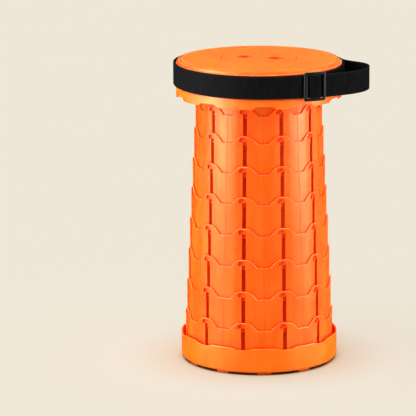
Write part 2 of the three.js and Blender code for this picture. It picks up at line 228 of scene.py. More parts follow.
def ring(name, k, top=None):
    """A ring of the stool: scalloped wall with hooked slots, rim opening, peg and the groove behind the peg."""
    ro, bottom = RING8_R + STEP * (8 - k), BOTTOMS[k]
    h = (BOTTOMS[k + 1] + OVERLAP if top is None else top) - bottom
    w = 2 * math.pi * ro / SECTORS
    half = w / 2
    bevel = 0.32
    if top is None:
        floor = 0.6 * (w - 2 * SLOPE) / 2
        t = np.linspace(0, 1, 13)
        rise = 1 - (1 - t) ** 1.55
        left = [(-half + floor + SLOPE * a, h - SCALLOP + SCALLOP * b) for a, b in zip(t, rise)]
        line = [(-half, h - SCALLOP)] + left + [(-x, y) for x, y in left[::-1]] + [(half, h - SCALLOP)]
        radii = [0, 1.6] + [0] * (len(line) - 4) + [1.6, 0]
        edge_top = fillet(line, radii, closed=False, n=3)
    else:
        edge_top = np.array([(-half, h), (half, h)])
    edge_bottom = np.array([(half, 0.0), (-half, 0.0)])
    outlines = [(edge_top, False), (edge_bottom, False)]
    s, low = SLOT_W / 2, (4.6 if k == 0 else 10.6)
    holes = []
    if k < 9:
        head = [(-s, low), (s, low), (s, h - 7.3), (-0.4, h - 2.4), (-6.4, h - 2.4), (-8.3, h - 5.2), (-8.3, h - 9.0),
                (-5.5, h - 9.0), (-5.5, h - 6.8), (-s, h - 8.4)]
        holes.append(fillet(head, [0.7, 0.7, 2.2, 1.6, 1.4, 1.2, 0.6, 0.6, 0.7, 0.7], n=3))
    if k > 0:
        holes.append(fillet([(-s, RIM_H), (s, RIM_H), (s, 4.5), (-s, 4.5)], 0.5, n=3))
    outlines += [(x, True) for x in holes]
    lip = ((0.0, 0.8, 8.0), (0.3, 0.3, 45.0), (1.0, 0.0, 90.0)) if top is None else ((0.0, 0.3, 0.0), (0.3, 0.0, 90.0))    # distance, depth, tilt
    lines = list(outlines) + [(inset(p, bevel, c), c) for p, c in outlines[1:]] + [(inset(edge_top, d, False), False) for d, _, _ in lip[1:]]
    a = np.linspace(0, 2 * math.pi, 21)[:-1]
    circle = np.stack([np.cos(a), np.sin(a)], 1)
    peg = np.array([PEG_U, PEG_Z])
    if k > 0:
        lines += [(peg + circle * r, True) for r in (2.33, 2.15, 2.08, 1.6)]
        for g, z0, z1 in ((3.15, 1.6, 11.2), (3.3, 1.45, 11.35)):
            lines.append((np.array([(-g, z0), (g, z0), (g, z1), (-g, z1)]), True))
    per = math.degrees(1 / ro)
    columns = [0.0] if k == 9 else []
    for c in (SLOT_PANEL / per - 0.5, SLOT_PANEL / per - 0.25, SLOT_PANEL / per, SLOT_PANEL / per + 0.25, SLOT_PANEL / per + 0.5,
              6.45, 6.7, 6.95, 3.2 / per, 5.0 / per, 9.1 / per, 11.5 / per, 13.9 / per,
              half - 0.9, half - 0.45, half):
        columns += [-c, c]
    z_top = float(edge_top[:, 1].max())
    for c in columns:
        lines.append((np.array([(c, -1.0 if abs(abs(c) - half) > 1e-9 else 0.0), (c, z_top + 1 if abs(abs(c) - half) > 1e-9 else float(edge_top[0, 1]))]), False))
    for z in [14.5, 23, 31, 39, 47, 55, 63]:
        if z < h - SCALLOP - 2 or (top is not None and z < h - 2):
            lines.append((np.array([(-half, z), (half, z)]), False))
    body = np.concatenate([edge_top, edge_bottom])

    def keep(c):
        ok = inside(body, c)
        for hole in holes:
            ok &= ~inside(hole, c)
        return ok

    p, f = plan(lines, keep)
    n = len(p)
    dist, out2 = nearest(outlines, p)
    on_edge = dist < 2e-3
    phi = p[:, 0] * per
    r_out, slope_out = panels(phi, ro)
    r_in, slope_in = panels(phi, ro - WALL)
    # a fine mould groove at each valley's middle, and a finer one beside each slot
    from_top = nearest(outlines[:1], p)[0]
    by_top = (from_top < lip[-1][0] + 5e-3) & (dist > from_top - 1e-3)
    depth = np.where(by_top, np.interp(from_top, [a_ for a_, _, _ in lip], [b_ for _, b_, _ in lip]), np.where(on_edge, bevel, 0))
    in_line = np.clip(1 - (half - np.abs(p[:, 0])) / 0.9, 0, 1)
    outer = r_out - depth - 0.42 * in_line - (np.abs(np.abs(phi) - SLOT_PANEL) < 1e-3) * 0.1 - (np.abs(p[:, 0] + 6.7) < 1e-3) * 0.08
    slope_out = slope_out + np.where(np.abs(half - 0.45 - np.abs(p[:, 0])) < 2e-3, -0.5 * np.sign(p[:, 0]), 0)
    slope_out = slope_out + np.sign(p[:, 0]) * (np.where(np.abs(np.abs(phi) - SLOT_PANEL + 0.25 * per) < 1e-3, -0.1, 0) + np.where(np.abs(np.abs(phi) - SLOT_PANEL - 0.25 * per) < 1e-3, 0.25, 0))
    inner = r_in + np.where(on_edge, 0.3, 0)
    grooved = (np.abs(p[:, 0]) < 3.16) & (p[:, 1] > 1.59) & (p[:, 1] < 11.21) if k > 0 else np.zeros(n, bool)
    web = panels(phi, ro)[0] - 0.6
    inner = np.where(grooved, web, inner)
    outer = np.where(on_edge & grooved, r_out - 0.25, outer)
    side2 = out2.copy()
    flat_n = np.ones(n)          # 1: the wall's own direction, 0: along side2
    flat_n[on_edge] = 0
    tilt_top = np.radians(np.interp(from_top, [a_ for a_, _, _ in lip], [c_ for _, _, c_ in lip]))
    flat_n = np.where(by_top, np.sin(tilt_top) / (np.sin(tilt_top) + np.cos(tilt_top)), flat_n)
    if k > 0:
        to = p - peg
        d = np.linalg.norm(to, axis=1)
        for r, rise, tilt in ((2.15, 0.1, 0.0), (2.08, 1.15, 0.0), (1.6, PEG_OUT, 1.0)):
            at = np.abs(d - r) < 4e-3
            outer = np.where(at, r_out + rise, outer)
            flat_n = np.where(at, tilt, flat_n)
            side2 = np.where(at[:, None], to / np.maximum(d, 1e-9)[:, None], side2)
        outer = np.where(d < 1.59, r_out + PEG_OUT, outer)
    left = np.where(np.abs(p[:, 0] + half) < 1e-3)[0]
    right = np.where(np.abs(p[:, 0] - half) < 1e-3)[0]
    left, right = left[np.argsort(p[left, 1])], right[np.argsort(p[right, 1])]
    assert len(left) == len(right) and np.allclose(p[left, 1], p[right, 1], atol=2e-3), name
    twin = dict(zip(right.tolist(), left.tolist()))
    own = np.array([i for i in range(n) if i not in twin])
    slot_of = -np.ones(n, int)
    slot_of[own] = np.arange(len(own))
    m = len(own)
    rim = [(a_, b_) for a_, b_ in rim_edges(f) if not ((a_ in twin and b_ in twin) or (a_ in set(left.tolist()) and b_ in set(left.tolist())))]
    verts, norms, edge, faces = [], [], [], []
    inner_n = np.where(on_edge, 0.0, 1.0)
    # tones for the edge attribute: above 0 the lips are lightened as wear and as a painted highlight; below 0 the cut
    # faces of the slots and each valley's groove get painted shade
    lip_wear_highlight = np.where(by_top, np.interp(from_top, [0, 0.3, 1.0], [1.0, 0.8, 0.0]), on_edge * 0.7) if top is None else on_edge * 0.7
    cut = on_edge & (nearest(outlines[2:], p)[0] < 3e-3) if holes else np.zeros(n, bool)
    tone = np.where(cut, -0.9, np.where(in_line > 0.9, -0.35, lip_wear_highlight))      # below 0: a shaded gap
    for i in range(SECTORS):
        az = np.radians(PHASE + SECTOR * i + phi)[own]
        er = np.stack([np.sin(az), -np.cos(az), 0 * az], 1)
        et = np.stack([np.cos(az), np.sin(az), 0 * az], 1)
        ez = np.array([[0.0, 0.0, 1.0]])
        for radius, slope, sign, flat in ((outer, slope_out, 1, flat_n), (inner, slope_in, -1, inner_n)):
            verts.append(er * radius[own][:, None] + ez * (p[own, 1] + bottom)[:, None])
            wall = (er - et * slope[own][:, None]) * sign
            side = et * side2[own][:, :1] + ez * side2[own][:, 1:]
            norms.append(wall * flat[own][:, None] + side * (1 - flat[own])[:, None])
            edge.append(tone[own])
    index = np.zeros((SECTORS, n), int)
    for i in range(SECTORS):
        for v in range(n):
            if v in twin:
                index[i, v] = ((i + 1) % SECTORS) * 2 * m + slot_of[twin[v]]
            else:
                index[i, v] = i * 2 * m + slot_of[v]
    for i in range(SECTORS):
        o = index[i]
        q = o + m
        faces += o[f].tolist()
        faces += q[f][:, ::-1].tolist()
        faces += [(o[b_], o[a_], q[a_], q[b_]) for a_, b_ in rim]
    obj = make(name, np.concatenate(verts), faces, np.concatenate(norms), np.concatenate(edge))
    # marks the inner faces, which get a faint painted glow in the shader
    within = np.tile(np.concatenate([np.zeros(m), np.ones(m)]), SECTORS).astype(np.float32)
    obj.data.attributes.new("within", "FLOAT", "POINT").data.foreach_set("value", within)
    return obj


def revolve(profile, azs, centre=(0.0, 0.0)):
    """Closed body from a profile of (r, z) that starts and ends on the axis or closes on itself. z may be a function of azimuth."""
    azs = np.asarray(azs, float)
    n = len(azs)
    rings, verts = [], []
    for r, z in profile:
        if isinstance(r, (int, float)) and r < 1e-6:
            rings.append([len(verts)] * n)
            verts.append((centre[0], centre[1], float(z)))
            continue
        zz = z(azs) if callable(z) else np.full(n, float(z))
        xy = around(r, azs)
        rings.append(list(range(len(verts), len(verts) + n)))
        verts += [(x + centre[0], y + centre[1], c) for (x, y), c in zip(xy, zz)]
    if profile[0][0] >= 1e-6:
        rings.append(rings[0])
    faces = []
    for a, b in zip(rings, rings[1:]):
        for i in range(n):
            j = (i + 1) % n
            q = [a[i], b[i], b[j], a[j]]
            q = [x for t, x in enumerate(q) if x != q[t - 1]]
            if len(q) > 2:
                faces.append(q)
    return np.array(verts), faces


def prism(outline, levels, place):
    """Closed body over a flat anticlockwise outline: levels is (inset, height) from below. place maps (x, y, z)."""
    loops = [(inset(np.asarray(outline)[::-1], d)[::-1], z) for d, z in levels]
    n = len(outline)
    verts = [place(x, y, z) for loop, z in loops for x, y in loop]
    faces = [list(range(n))[::-1], [n * (len(loops) - 1) + i for i in range(n)]]
    for l in range(len(loops) - 1):
        faces += [(l * n + i, l * n + (i + 1) % n, (l + 1) * n + (i + 1) % n, (l + 1) * n + i) for i in range(n)]
    return np.array(verts), faces


def join(parts):
    verts, faces, base = [], [], 0
    for v, f in parts:
        verts.append(v)
        faces += [[base + i for i in x] for x in f]
        base += len(v)
    return np.concatenate(verts), faces


def combine(obj, steps):
    """Applies boolean steps, each ("UNION" or "DIFFERENCE", (verts, faces))."""
    for i, (kind, (v, f)) in enumerate(steps):
        tool = make(f"tool_{i}", v, f)
        m = obj.modifiers.new("cut", "BOOLEAN")
        m.operation, m.object, m.solver = kind, tool, "MANIFOLD"
        dg = bpy.context.evaluated_depsgraph_get()
        mesh = bpy.data.meshes.new_from_object(obj.evaluated_get(dg))
        obj.modifiers.clear()
        old, obj.data = obj.data, mesh
        mesh.name = obj.name
        bpy.data.meshes.remove(old)
        bpy.data.objects.remove(tool)
    return obj


def finish_solid(obj, sharp, edge_from=28, gap=None):
    """Smooth and sharp edges by angle, and the edge attribute on the corners, lighter as wear and as a painted
    highlight: gap gives the points in dark gaps a tone below 0, painted shade.
    """
    bm = bmesh.new()
    bm.from_mesh(obj.data)
    bmesh.ops.remove_doubles(bm, verts=bm.verts, dist=2e-6)
    bmesh.ops.dissolve_degenerate(bm, dist=1e-6, edges=bm.edges)
    bm.to_mesh(obj.data)
    wear_highlight_shade = np.zeros(len(obj.data.vertices), np.float32)
    for e in bm.edges:
        if len(e.link_faces) == 2 and e.calc_face_angle(0) > math.radians(edge_from):
            for v in e.verts:
                wear_highlight_shade[v.index] = 1
    bm.free()
    mesh = obj.data
    for a in [a.name for a in mesh.attributes if a.name in ("edge", "custom_normal")]:
        mesh.attributes.remove(mesh.attributes[a])
    if gap:
        at = np.zeros(len(mesh.vertices) * 3)
        mesh.vertices.foreach_get("co", at)
        at = at.reshape(-1, 3) / MM
        dark = gap(at)
        wear_highlight_shade = np.where(dark < 0, dark, wear_highlight_shade).astype(np.float32)
    mesh.attributes.new("edge", "FLOAT", "POINT").data.foreach_set("value", wear_highlight_shade)
    mesh.shade_smooth()
    mesh.set_sharp_from_angle(angle=math.radians(sharp))
    return obj


# ---------------------------------------------------------------------------------------------------- materials

def material(name):
    m = bpy.data.materials.new(name)
    m.use_nodes = True
    nt = m.node_tree
    nt.nodes.clear()
    out = nt.nodes.new("ShaderNodeOutputMaterial")
    bsdf = nt.nodes.new("ShaderNodeBsdfPrincipled")
    nt.links.new(bsdf.outputs[0], out.inputs[0])
    return m, nt, bsdf


def noise(nt, coord, scale, detail=3.0, rough=0.5, stretch=None):
    if stretch:
        mp = nt.nodes.new("ShaderNodeMapping")
        mp.inputs["Scale"].default_value = stretch
        nt.links.new(coord, mp.inputs["Vector"])
        coord = mp.outputs[0]
    n = nt.nodes.new("ShaderNodeTexNoise")
    n.inputs["Scale"].default_value = scale
    n.inputs["Detail"].default_value = detail
    n.inputs["Roughness"].default_value = rough
    nt.links.new(coord, n.inputs["Vector"])
    return n.outputs["Fac"]


def remap(nt, value, a, b, c, d, smooth=False):
    n = nt.nodes.new("ShaderNodeMapRange")
    if smooth:
        n.interpolation_type = "SMOOTHSTEP"
    for i, x in zip((1, 2, 3, 4), (a, b, c, d)):
        n.inputs[i].default_value = x
    nt.links.new(value, n.inputs[0])
    return n.outputs[0]


def math_node(nt, op, a, b=None):
    n = nt.nodes.new("ShaderNodeMath")
    n.operation = op
    for i, x in enumerate((a, b)):
        if x is None:
            continue
        if isinstance(x, (int, float)):
            n.inputs[i].default_value = x
        else:
            nt.links.new(x, n.inputs[i])
    return n.outputs[0]


def mix(nt, fac, a, b, kind="MIX"):
    n = nt.nodes.new("ShaderNodeMix")
    n.data_type = "RGBA"
    n.blend_type = kind
    for i, x in ((0, fac), (6, a), (7, b)):
        if isinstance(x, (int, float)):
            n.inputs[i].default_value = x
        elif isinstance(x, tuple):
            n.inputs[i].default_value = (*x, 1.0)
        else:
            nt.links.new(x, n.inputs[i])
    return n.outputs[2]


def bump(nt, height, strength, distance, normal=None):
    n = nt.nodes.new("ShaderNodeBump")
    n.inputs["Strength"].default_value = strength
    n.inputs["Distance"].default_value = distance
    nt.links.new(height, n.inputs["Height"])
    if normal is not None:
        nt.links.new(normal, n.inputs["Normal"])
    return n.outputs[0]


def plastic(name, base, deep, light, rough=0.36, grain=0.10, shade_colour=None, glow=0.0):
    """Satin moulded plastic: cloudy pigment, faint flow streaks, paler worn edges that also carry a painted highlight,
    fine grain and a few hair scratches. With shade_colour it also gets painted shade in gaps and corners and a painted
    glow.
    """
    m, nt, b = material(name)
    co = nt.nodes.new("ShaderNodeTexCoord").outputs["Object"]
    cloud = noise(nt, co, 14.0, 4.0, 0.55)
    fine = noise(nt, co, 420.0, 3.0, 0.6)
    streak = noise(nt, co, 60.0, 3.0, 0.5, stretch=(1.0, 1.0, 0.12))
    edge = nt.nodes.new("ShaderNodeAttribute")
    edge.attribute_name = "edge"
    c = mix(nt, remap(nt, cloud, 0.32, 0.68, 0.0, 1.0, True), deep, base)
    c = mix(nt, remap(nt, streak, 0.45, 0.75, 0.0, 0.16), c, light)
    c = mix(nt, remap(nt, fine, 0.35, 0.75, 0.0, 0.10), c, deep)
    # edges made lighter, partly as wear and partly as a painted highlight where edges catch the light
    wear_and_painted_highlight = math_node(nt, "MULTIPLY", edge.outputs["Fac"], remap(nt, noise(nt, co, 55.0, 3.0, 0.6), 0.3, 0.7, 0.45, 0.95))
    c = mix(nt, wear_and_painted_highlight, c, light)
    if shade_colour:
        # painted shade: a tone below 0 on the edge attribute darkens cut faces, grooves and finger holes
        c = mix(nt, remap(nt, edge.outputs["Fac"], -1.0, 0.0, 0.9, 0.0), c, (0.80, 0.025, 0.001))
        c = mix(nt, remap(nt, edge.outputs["Fac"], -2.0, -1.0, 0.9, 0.0), c, (0.12, 0.006, 0.001))
        # painted shade: the colour turns a darker, deeper red in narrow gaps and corners, where the ambient occlusion
        # is low
        ao = nt.nodes.new("ShaderNodeAmbientOcclusion")
        ao.samples = 8
        ao.inputs["Distance"].default_value = 0.006
        gap = remap(nt, ao.outputs["AO"], 0.56, 0.94, 1.0, 0.0)
        c = mix(nt, gap, c, shade_colour)
        # painted glow: a red emission round a gap, and a faint one on the inner faces, standing in for light through
        # the translucent walls
        b.inputs["Emission Color"].default_value = (1.0, 0.008, 0.0, 1.0)
        painted_glow_strength = remap(nt, ao.outputs["AO"], 0.72, 0.90, glow, 0.0)
        if glow:
            within = nt.nodes.new("ShaderNodeAttribute")
            within.attribute_name = "within"
            painted_glow_strength = math_node(nt, "MAXIMUM", painted_glow_strength, remap(nt, within.outputs["Fac"], 0.6, 1.0, 0.0, 0.035))
        nt.links.new(painted_glow_strength, b.inputs["Emission Strength"])
    nt.links.new(c, b.inputs["Base Color"])
    scratch = noise(nt, co, 90.0, 2.0, 0.5, stretch=(1.0, 0.25, 6.0))
    hair = remap(nt, scratch, 0.69, 0.74, 0.0, 1.0)
    r = remap(nt, noise(nt, co, 38.0, 4.0, 0.6), 0.3, 0.7, rough - 0.05, rough + 0.06)
    r = math_node(nt, "ADD", r, math_node(nt, "MULTIPLY", hair, 0.07))
    nt.links.new(r, b.inputs["Roughness"])
    n = bump(nt, noise(nt, co, 1500.0, 2.0, 0.5), grain, 0.00012)
    n = bump(nt, noise(nt, co, 26.0, 2.0, 0.4), 0.05, 0.0012, n)
    nt.links.new(n, b.inputs["Normal"])
    return m, b


def orange_plastic(name, base, deep, light, rough, grain, gloss, shade_colour, glow=0.0):
    m, b = plastic(name, base, deep, light, rough, grain, shade_colour, glow)
    b.inputs["IOR"].default_value = 1.49
    b.inputs["Specular IOR Level"].default_value = gloss
    b.inputs["Specular Tint"].default_value = (1.0, 0.76, 0.36, 1.0)
    b.inputs["Subsurface Weight"].default_value = 0.8
    b.inputs["Subsurface Radius"].default_value = (1.0, 0.085, 0.03)
    b.inputs["Subsurface Scale"].default_value = 0.0032
    return m


def webbing(name):
    """Black woven webbing: cross ribs over lengthwise threads, lighter woven edges that also carry a painted highlight,
    a little lint. UVs are metres along and across.
    """
    m, nt, b = material(name)
    uv = nt.nodes.new("ShaderNodeUVMap")
    uv.uv_map = "UVMap"
    sep = nt.nodes.new("ShaderNodeSeparateXYZ")
    nt.links.new(uv.outputs[0], sep.inputs[0])
    co = nt.nodes.new("ShaderNodeTexCoord").outputs["Object"]
    wob = remap(nt, noise(nt, co, 90.0, 2.0, 0.5), 0.0, 1.0, -0.00018, 0.00018)
    u = math_node(nt, "ADD", sep.outputs[0], wob)
    v = math_node(nt, "ADD", sep.outputs[1], wob)
    ribs = math_node(nt, "ABSOLUTE", math_node(nt, "SINE", math_node(nt, "MULTIPLY", u, math.pi / 0.00125)))
    half = math_node(nt, "MULTIPLY", math_node(nt, "FLOOR", math_node(nt, "DIVIDE", u, 0.00125)), 0.00055)
    threads = math_node(nt, "ABSOLUTE", math_node(nt, "SINE", math_node(nt, "MULTIPLY", math_node(nt, "ADD", v, half), math.pi / 0.0011)))
    weave = math_node(nt, "MULTIPLY", ribs, math_node(nt, "ADD", math_node(nt, "MULTIPLY", threads, 0.55), 0.45))
    cloud = noise(nt, uv.outputs[0], 170.0, 4.0, 0.65, stretch=(1.0, 0.28, 1.0))
    c = mix(nt, remap(nt, weave, 0.1, 0.9, 0.0, 1.0), (0.0001, 0.0001, 0.0001), (0.0018, 0.0018, 0.0019))
    c = mix(nt, remap(nt, cloud, 0.42, 0.68, 0.0, 0.8), c, (0.0034, 0.0034, 0.0035))
    # the edges are lighter, partly as worn fuzz and partly as a painted highlight
    selvedge_fuzz_highlight = remap(nt, math_node(nt, "ABSOLUTE", sep.outputs[1]), 0.0149, 0.0163, 0.0, 0.75, True)
    c = mix(nt, selvedge_fuzz_highlight, c, (0.0070, 0.0070, 0.0073))
    lint = remap(nt, noise(nt, co, 900.0, 1.0, 0.4), 0.76, 0.8, 0.0, 0.35)
    c = mix(nt, lint, c, (0.020, 0.020, 0.020))
    nt.links.new(c, b.inputs["Base Color"])
    nt.links.new(remap(nt, weave, 0.0, 1.0, 0.95, 0.74), b.inputs["Roughness"])
    b.inputs["Specular IOR Level"].default_value = 0.045
    n = bump(nt, weave, 0.55, 0.00028)
    n = bump(nt, noise(nt, co, 1300.0, 2.0, 0.6), 0.25, 0.0001, n)
    nt.links.new(n, b.inputs["Normal"])
    return m


def black_plastic(name):
    m, b = plastic(name, (0.0042, 0.0043, 0.0045), (0.0030, 0.0031, 0.0033), (0.0065, 0.0065, 0.007), 0.34, 0.10)
    b.inputs["Specular IOR Level"].default_value = 0.20
    return m


def patch(name):
    """Bare sewn patch: smooth satin cloth."""
    m, nt, b = material(name)
    uv = nt.nodes.new("ShaderNodeUVMap")
    uv.uv_map = "UVMap"
    sep = nt.nodes.new("ShaderNodeSeparateXYZ")
    nt.links.new(uv.outputs[0], sep.inputs[0])
    co = nt.nodes.new("ShaderNodeTexCoord").outputs["Object"]
    slant = math_node(nt, "ADD", sep.outputs[0], math_node(nt, "MULTIPLY", sep.outputs[1], 0.6))
    twill = math_node(nt, "ABSOLUTE", math_node(nt, "SINE", math_node(nt, "MULTIPLY", slant, math.pi / 0.0006)))
    c = mix(nt, twill, (0.010, 0.010, 0.011), (0.028, 0.028, 0.030))
    c = mix(nt, remap(nt, noise(nt, co, 60.0, 3.0, 0.6), 0.3, 0.7, 0.0, 0.4), c, (0.016, 0.016, 0.018))
    nt.links.new(c, b.inputs["Base Color"])
    nt.links.new(remap(nt, twill, 0.0, 1.0, 0.75, 0.55), b.inputs["Roughness"])
    nt.links.new(bump(nt, twill, 0.4, 0.00015), b.inputs["Normal"])
    return m


# the tray and the seat cap use a lighter copy of the rings' orange, painting in the extra light they catch; the last
# colour of each is its painted shade in gaps, and the rings also get a painted glow
TRAY_PLASTIC = orange_plastic("tray_plastic", (0.97, 0.178, 0.003), (0.96, 0.160, 0.0025), (1.0, 0.34, 0.05), 0.36, 0.10, 0.44, (0.95, 0.095, 0.003))
ORANGE = orange_plastic("orange_plastic", (0.97, 0.124, 0.0012), (0.95, 0.108, 0.0010), (1.0, 0.40, 0.08), 0.40, 0.08, 0.27, (0.46, 0.003, 0.0003), 0.34)
SEAT = orange_plastic("seat_plastic", (0.97, 0.178, 0.004), (0.96, 0.160, 0.003), (1.0, 0.36, 0.07), 0.46, 0.12, 0.42, (0.62, 0.008, 0.0006))
WEBBING = webbing("black_webbing")
BLACK = black_plastic("black_plastic")
PATCH = patch("label_patch")


def done(obj, body, nodes, mat):
    obj.data.materials.clear()
    obj.data.materials.append(mat)
    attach(obj, body)
    if nodes:
        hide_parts(*nodes)
    return obj


# ---------------------------------------------------------------------------------------------------- rings

for k in range(1, 9):
    done(ring(f"ring_{k}_wall", k), f"ring_{k}_body", [f"ring_{k}"], ORANGE)
done(ring("base_ring_wall", 0), "base", ["base_ring"], ORANGE)
done(ring("seat_ring_wall", 9, top=TOP - 3.5), "seat", ["seat_ring"], ORANGE)


# ---------------------------------------------------------------------------------------------------- tray

def slot_arc(azs, r):
    """Distance along the wall from the nearest slot."""
    return np.abs((azs - PHASE + SECTOR / 2) % SECTOR - SECTOR / 2) * math.pi / 180 * r


def tray_top(azs):
    t = np.clip((slot_arc(azs, TRAY_R) - 8.0) / 10.0, 0, 1)
    return 38.6 + 2.7 * t * t * (3 - 2 * t)


def lower(d):
    return lambda azs: tray_top(azs) - d


columns = np.arange(0, 360, 1.0)
profile = [(0, 5.0), (60, 5.0), (113.6, 5.0), (115.2, 5.15), (116.1, 5.7), (116.5, 6.8), (TRAY_IN, lower(1.2)), (TRAY_IN, lower(0.55)),
           (TRAY_IN + 0.16, lower(0.16)), (TRAY_IN + 0.55, lower(0)), (TRAY_R - 0.55, lower(0)), (TRAY_R - 0.16, lower(0.16)),
           (TRAY_R, lower(0.55)), (TRAY_R, lower(1.2)), (TRAY_R, 24.0), (TRAY_R, 8.0), (118.92, 6.7), (118.6, 5.6), (118.1, 4.7), (117.3, 4.0),
           (116.3, 3.6), (113.0, 2.95), (110.2, 2.55), (109.0, 2.5), (108, 2.5), (60, 2.5), (0, 2.5)]
tray = make("base_tray_body", *revolve(profile, columns))
feet = []
for i in range(SECTORS):
    az = PHASE + SECTOR * (i + 0.5)
    a = math.radians(az)
    w, r0, r1 = 10.0, 104.5, 113.5
    outline = fillet([(-w, r0), (-w, r1), (w, r1), (w, r0)][::-1], 1.1, n=3)
    outline = outline if (np.roll(outline[:, 0], -1) * outline[:, 1] - outline[:, 0] * np.roll(outline[:, 1], -1)).sum() < 0 else outline[::-1]

    def place(x, y, z, a=a):
        # x along the wall, y outwards
        return (y * math.sin(a) + x * math.cos(a), -y * math.cos(a) + x * math.sin(a), z)

    feet.append(prism(outline, [(0.3, 0.0), (0.0, 0.3), (0.0, 4.0)], place))
feet.append(revolve([(0, 2.9), (18.0, 2.9), (18.0, 0.35), (17.65, 0.0), (0, 0.0)], np.arange(0, 360, 5.0)))
ringlet = revolve([(70.0, 2.9), (72.0, 2.9), (72.0, 1.4), (70.0, 1.4)], np.arange(0, 360, 3.0))
combine(tray, [("UNION", join(feet)), ("UNION", ringlet)])
finish_solid(tray, 20)
done(tray, "base", ["base_tray"], TRAY_PLASTIC)


# ---------------------------------------------------------------------------------------------------- seat cap

def skirt_low(azs):
    z = np.full(len(azs), SKIRT_BOTTOM)
    for c in NOTCHES:
        u = np.abs((azs - c + 180) % 360 - 180) * math.pi / 180 * SKIRT_R
        t = np.clip((18.0 - u) / 5.5, 0, 1)
        z = np.maximum(z, SKIRT_BOTTOM + 4.2 * (0.75 * t + 0.25 * t * t * (3 - 2 * t)))
    return z


def skirt(d):
    return lambda azs: skirt_low(azs) + d




def crown(r):
    return TOP + CROWN * min(1.0, max(0.0, (119.0 - r) / (119.0 - CROWN_R)))


profile = [(0, TOP + CROWN), (40.0, TOP + CROWN), (56.0, TOP + CROWN), (56.6, TOP + CROWN), (56.8, TOP + CROWN - 0.6), (58.0, TOP + CROWN - 0.6), (58.2, crown(58.2)), (58.8, crown(58.8))]
r = 62.0
while r < 112:
    profile += [(r - 0.45, crown(r - 0.45)), (r, crown(r) - 0.15), (r + 0.45, crown(r + 0.45))]
    r += 3.1
profile += [(117.5, crown(117.5)), (117.9, TOP - 0.75), (119.0, TOP - 0.85), (119.5, TOP - 0.2)]
bead_r = BEAD_R - 1.3 * np.clip(np.sin(np.radians(np.arange(0, 360, 1.0))), 0, 1) ** 2     # pressed in a little where the strap pulls
profile += [(bead_r - 2.2 + 2.2 * math.sin(math.radians(a)), TOP - 2.2 + 2.2 * math.cos(math.radians(a))) for a in range(0, 91, 9)]
profile += [(bead_r, TOP - 3.6), (bead_r + 0.3, TOP - 4.0), (SKIRT_R, TOP - 4.9), (SKIRT_R, TOP - 5.6), (SKIRT_R, 430.0), (SKIRT_R, skirt(1.2)), (SKIRT_R, skirt(0.45)),
            (SKIRT_R - 0.13, skirt(0.13)), (SKIRT_R - 0.45, skirt(0)), (SKIRT_IN + 0.45, skirt(0)), (SKIRT_IN + 0.13, skirt(0.13)),
            (SKIRT_IN, skirt(0.45)), (SKIRT_IN, skirt(1.2)), (SKIRT_IN, 430.0), (SKIRT_IN, TOP - 6.6), (SKIRT_IN - 3.0, TOP - 3.2),
            (60, TOP - 3.2), (0, TOP - 3.2)]
cap = make("seat_cap_body", *revolve(profile, np.arange(0, 360, 1.0)))
turn = math.radians(-17)
hole_xy = [(2.7 + sgn * 24.5 * math.cos(turn), 3.3 + sgn * 24.5 * math.sin(turn)) for sgn in (-1, 1)]
RIB, UNDER = 451.7, TOP - 3.0
fine = np.arange(0, 360, 6.0)
collars = [revolve([(0, UNDER), (12.8, UNDER), (12.8, RIB + 0.4), (12.4, RIB), (0, RIB)], fine, c) for c in hole_xy]


def rib(az, r0, r1, high=UNDER):
    a = math.radians(az)
    return prism([(-1.0, r1), (-1.0, r0), (1.0, r0), (1.0, r1)], [(0.2, RIB), (0.0, RIB + 0.2), (0.0, high)],
                 lambda x, y, z: (y * math.sin(a) + x * math.cos(a), -y * math.cos(a) + x * math.sin(a), z))


spokes = [rib(PHASE + SECTOR * (i + 0.5), 45.0, 90.4) for i in range(SECTORS)]
outer_spokes = [rib(PHASE + SECTOR * (i + 0.5), 94.0, 120.6) for i in range(SECTORS)]
spoke_ends = [rib(PHASE + SECTOR * (i + 0.5), 120.0, 123.6, TOP - 5.8) for i in range(SECTORS)]
hoop = revolve([(44.0, UNDER), (46.0, UNDER), (46.0, RIB + 0.2), (45.8, RIB), (44.2, RIB), (44.0, RIB + 0.2)], np.arange(0, 360, 3.0))
H = TOP + CROWN
bores = [revolve([(0, H + 1.5), (13.4, H + 1.5), (12.3, H + 0.02), (11.75, H - 0.22), (11.25, H - 0.62), (10.92, H - 1.2), (10.8, H - 1.9), (10.8, RIB - 2), (0, RIB - 2)],
                 np.arange(0, 360, 5.0), c) for c in hole_xy]
combine(cap, [("UNION", join(collars + outer_spokes + [hoop])), ("UNION", join(spokes)), ("UNION", join(spoke_ends)), ("DIFFERENCE", join(bores))])


def painted_gap_shade(at):
    """Painted shade: a tone below 0 for the inner circle's groove and the shaded walls of the finger holes."""
    r_, z_ = np.hypot(at[:, 0], at[:, 1]), at[:, 2]
    gap = (z_ < TOP + CROWN - 0.3) & (z_ > TOP) & (r_ > 56.5) & (r_ < 58.3)
    dark = np.where(gap, -2.0, 0.0)
    for cx, cy in hole_xy:
        dark = np.where((np.hypot(at[:, 0] - cx, at[:, 1] - cy) < 11.35) & (z_ > RIB - 1) & (z_ < H - 0.5), -1.0, dark)
    return dark


finish_solid(cap, 16, gap=painted_gap_shade)
done(cap, "seat", ["seat_cap"], SEAT)


# ---------------------------------------------------------------------------------------------------- strap

